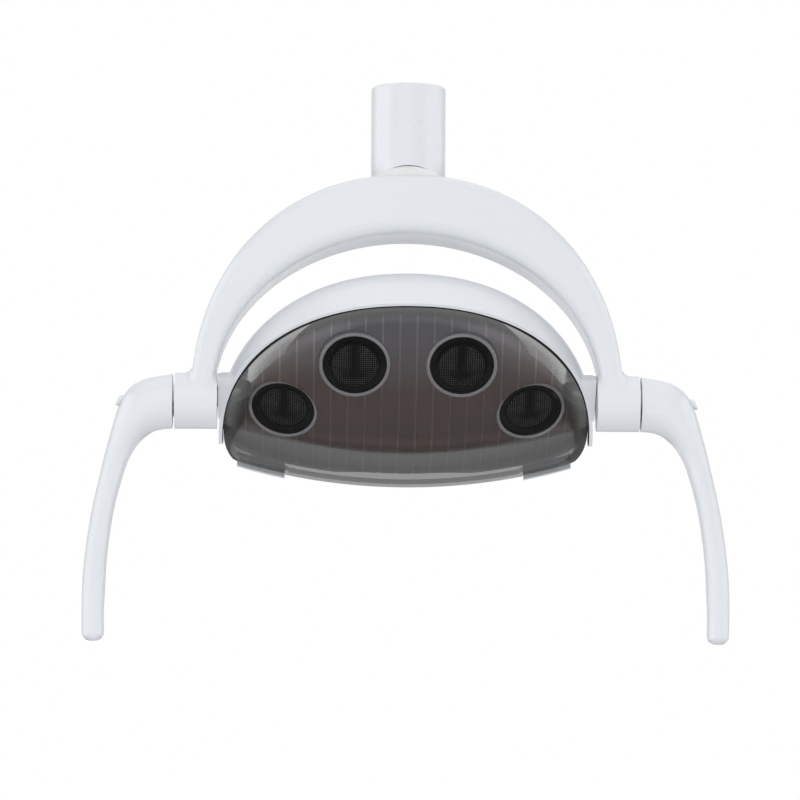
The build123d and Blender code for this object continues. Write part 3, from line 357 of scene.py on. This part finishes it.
def clearLens(centre):                       # small lenslets over a dark cup, lit in two lobes and a bow
    look = lensLook
    finish = Finish("clearLens", ior=look["ior"])
    across = finish.along((1, 0, 0), centre)
    up = finish.along(faceUp, centre)
    out = finish.math("SQRT", across * across + up * up)

    turns = math.pi / look["pitch"]
    dots = finish.math("ABSOLUTE", finish.math("SINE", across * turns) * finish.math("SINE", up * turns))

    side = finish.math("ABSOLUTE", across)
    lobes = finish.fade(side, *look["lobeSide"]) * finish.fade(up, *look["lobeUp"])
    bow = finish.fade(out, *look["bowOut"]) * (1 - finish.fade(up, *look["bowUp"])) * look["bow"]
    shape = look["unlit"] + (1 - look["unlit"]) * finish.math("MAXIMUM", lobes, bow)
    level = look["level"] + look["levelSpread"] * finish.noise(**look["clouds"])
    lit = (1 - finish.fade(out, *look["rim"])) * shape * level

    # painted highlights: bright glints on the lenslets, in two side lobes and a lower bow, with the middle left
    # dark
    glint = finish.fade(dots, *look["dotFade"]) * lit
    finish.feed(colour=finish.blend(glint, grey(look["dark"]), grey(look["bright"])))
    finish.unevenGloss(look)
    finish.bump(dots, look["dotHeight"], look["dotStrength"])
    return finish.material


shapedFinishes = {"smoked_visor": smokedVisor, "panel_grey": panelGrey, "bezel_grey": bezelGrey,
                  "circuit_board": circuitBoard}


def finishFor(slotName, node):
    if slotName == "clear_lens":             # a lens's pattern is centred on it
        low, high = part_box(node)
        return clearLens([(a + b) / 2 for a, b in zip(low, high)])
    if slotName in shapedFinishes:
        return shapedFinishes[slotName]()
    return plainFinish(plainLooks[slotName])


def paintNodes():
    made = {}
    for part in frame["record"]["subparts"]:
        node, slotName = part["node"], part["material_slot"]
        if slotName == "clear_lens" or slotName not in made:
            made[slotName] = finishFor(slotName, node)
        for slot in nodes[node].material_slots:
            slot.material = made[slotName]


paintNodes()
print("materials made")


# The eye sees a plain pale floor. What shiny pieces mirror of it is a painted reflection: the floor glows for
# mirror rays only, dark but for a band behind the light and the two sides far out. Pairs are distances in metres
# between which a zone fades.
floorLook = {"drop": 1.45, "size": 14.0, "low": 0.72, "high": 0.76, "roughness": 0.7,
             "clouds": {"scale": 3, "detail": 3}, "mirrorTint": (0.97, 0.98, 1.0), "dark": 0.06,
             "bandFront": 0.72, "bandLeft": -0.74, "bandRight": 0.82, "band": 0.72, "bandFar": 0.36,
             "bandFade": (0.75, 1.45), "sideFade": (0.9, 1.8)}


def paleFloor():
    look = floorLook
    finish = Finish("paleFloor", roughness=look["roughness"], glowStrength=1.0)
    across = finish.along((1, 0, 0))
    back = finish.along((0, 1, 0))
    inBand = (back > look["bandFront"]) * (across > look["bandLeft"]) * (across < look["bandRight"])
    band = inBand * (look["band"] - (look["band"] - look["bandFar"]) * finish.fade(back, *look["bandFade"]))
    sides = finish.fade(finish.math("ABSOLUTE", across), *look["sideFade"])
    mirrored = finish.blend(finish.math("MAXIMUM", band, sides),
                            grey(look["dark"], look["mirrorTint"]), grey(1.0, look["mirrorTint"]))
    pale = finish.blend(finish.noise(**look["clouds"]), grey(look["low"]), grey(look["high"]))
    glossy = finish.ray("Is Glossy Ray")
    finish.feed(colour=finish.blend(glossy, pale, grey(0)), glow=finish.blend(glossy, grey(0), mirrored))
    return finish.material


def makeFloor():
    bpy.ops.object.select_all(action="DESELECT")
    bpy.ops.mesh.primitive_plane_add(size=floorLook["size"], location=(0, 0, -floorLook["drop"]))
    floor = bpy.context.active_object
    floor.name = "floor"
    bpy.ops.object.transform_apply(location=True, rotation=True, scale=True)
    floor.data.materials.append(paleFloor())


worldLook = {"ambient": (0.97, 0.985, 1.0, 1), "ambientStrength": 0.62, "backdrop": (1, 1, 1, 1)}


def makeWorld():                             # plain white where it is seen or mirrored, softer as light
    world = bpy.data.worlds.new("studio")
    bpy.context.scene.world = world
    world.use_nodes = True
    wiring = Wiring(world.node_tree)
    ambient = wiring.node("ShaderNodeBackground", {}, {"Color": worldLook["ambient"],
                                                       "Strength": worldLook["ambientStrength"]})
    backdrop = wiring.node("ShaderNodeBackground", {}, {"Color": worldLook["backdrop"]})
    seen = wiring.math("MAXIMUM", wiring.ray("Is Camera Ray"), wiring.ray("Is Glossy Ray"))
    mixed = wiring.node("ShaderNodeMixShader", {}, {0: seen, 1: ambient, 2: backdrop})
    wiring.node("ShaderNodeOutputWorld", {}, {"Surface": mixed})


lamps = {                                    # places are counted from the hub
    "key": {"from": (-0.7, -2.6, 1.3), "size": 2.0, "power": 19, "lights": True, "mirrored": False},
    "top": {"from": (0.2, 0.2, 2.2), "size": 2.6, "power": 14, "lights": True, "mirrored": True},
    "low": {"from": (0.0, -1.7, -0.85), "size": 0.7, "power": 9, "lights": True, "mirrored": False},
    "left": {"from": (-1.95, 0.0, 0.15), "size": 2.6, "power": 42, "lights": False, "mirrored": True},
    "right": {"from": (1.95, 0.0, 0.15), "size": 2.6, "power": 38, "lights": False, "mirrored": True},
}


def makeLamps():
    for name, look in lamps.items():
        data = bpy.data.lights.new(name, "AREA")
        data.size = look["size"]
        data.energy = look["power"]
        lamp = bpy.data.objects.new(name, data)
        bpy.context.scene.collection.objects.link(lamp)
        lamp.visible_diffuse = look["lights"]
        lamp.visible_glossy = look["mirrored"]
        lamp.location = hub + Vector(look["from"])
        lamp.rotation_euler = (-Vector(look["from"])).to_track_quat("-Z", "Y").to_euler()


makeFloor()
makeWorld()
makeLamps()
print("stage set")
